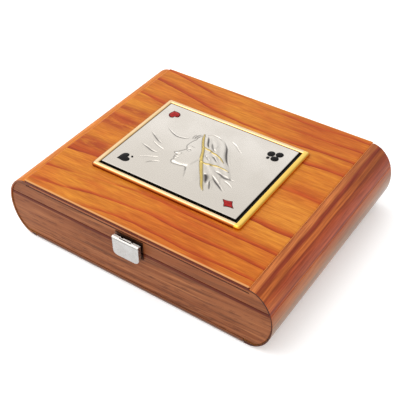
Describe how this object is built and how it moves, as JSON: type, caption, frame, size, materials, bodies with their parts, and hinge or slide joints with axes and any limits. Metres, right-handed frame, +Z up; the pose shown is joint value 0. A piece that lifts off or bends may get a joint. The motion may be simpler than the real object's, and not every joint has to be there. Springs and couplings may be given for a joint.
{
  "type": "poker chip case",
  "caption": "Hinged wooden case with rounded sides, a framed relief plaque on the lid, a lift-flap latch, and racks for poker chips and cards.",
  "frame": {"origin": "centre of the plane that the case rests on, under its felt", "axes": "+X to the right along the front, the front faces -Y, +Z up"},
  "size_m": [0.24, 0.1999, 0.064],
  "materials": {
    "top_wood": "gloss lacquer",
    "side_wood": "gloss lacquer",
    "front_wood": "satin lacquer",
    "inner_wood": "satin",
    "felt": "felt",
    "flocked_plastic": "flocked",
    "gilt": "polished",
    "black_ground": "gloss",
    "silver": "satin silver plate",
    "red_enamel": "gloss enamel",
    "black_enamel": "gloss enamel",
    "chrome": "polished",
    "dark_steel": "blackened",
    "brass": "polished",
    "steel": "plated"
  },
  "bodies": {
    "base": {"base_felt": "felt", "base_bottom_panel": "top_wood", "base_side_left": "side_wood", "base_side_right": "side_wood", "base_front_board": "front_wood", "base_back_board": "front_wood", "floor_lining": "felt", "chip_rack_front": "flocked_plastic", "chip_rack_back": "flocked_plastic", "rack_separator_front": "inner_wood", "rack_separator_back": "inner_wood", "divider_left": "inner_wood", "divider_right": "inner_wood", "card_pad_left": "felt", "card_pad_right": "felt", "centre_pad": "felt", "latch_keeper": "dark_steel", "keeper_screw_left": "steel", "keeper_screw_right": "steel", "hinge_leaf_base_left": "brass", "hinge_pin_left": "steel", "hinge_screw_base_left_outer": "steel", "hinge_screw_base_left_inner": "steel", "hinge_leaf_base_right": "brass", "hinge_pin_right": "steel", "hinge_screw_base_right_outer": "steel", "hinge_screw_base_right_inner": "steel"},
    "lid": {"lid_top_panel": "top_wood", "lid_side_left": "side_wood", "lid_side_right": "side_wood", "lid_front_board": "front_wood", "lid_back_board": "front_wood", "lid_lining": "felt", "plaque_frame": "gilt", "plaque_ground": "black_ground", "plaque_plate": "silver", "enamel_heart": "red_enamel", "enamel_spade": "black_enamel", "enamel_club": "black_enamel", "enamel_diamond": "red_enamel", "latch_plate": "dark_steel", "latch_screw_left": "steel", "latch_screw_right": "steel", "latch_pin": "steel", "latch_spring": "steel", "hinge_leaf_lid_left": "brass", "hinge_screw_lid_left_outer": "steel", "hinge_screw_lid_left_inner": "steel", "hinge_leaf_lid_right": "brass", "hinge_screw_lid_right_outer": "steel", "hinge_screw_lid_right_inner": "steel"},
    "flap": {"latch_flap": "chrome"}
  },
  "joints": [
    {"name": "lid_hinge", "type": "hinge", "parent": "base", "child": "lid", "pos_m": [0, 0.0972, 0.0412], "axis": [-1, 0, 0], "range_deg": [0, 100]},
    {"name": "latch_lift", "type": "hinge", "parent": "lid", "child": "flap", "pos_m": [0, -0.0982, 0.0481], "axis": [-1, 0, 0], "range_deg": [0, 72], "stiffness_Nm_per_rad": 0.004, "springref_deg": -34.38}
  ]
}
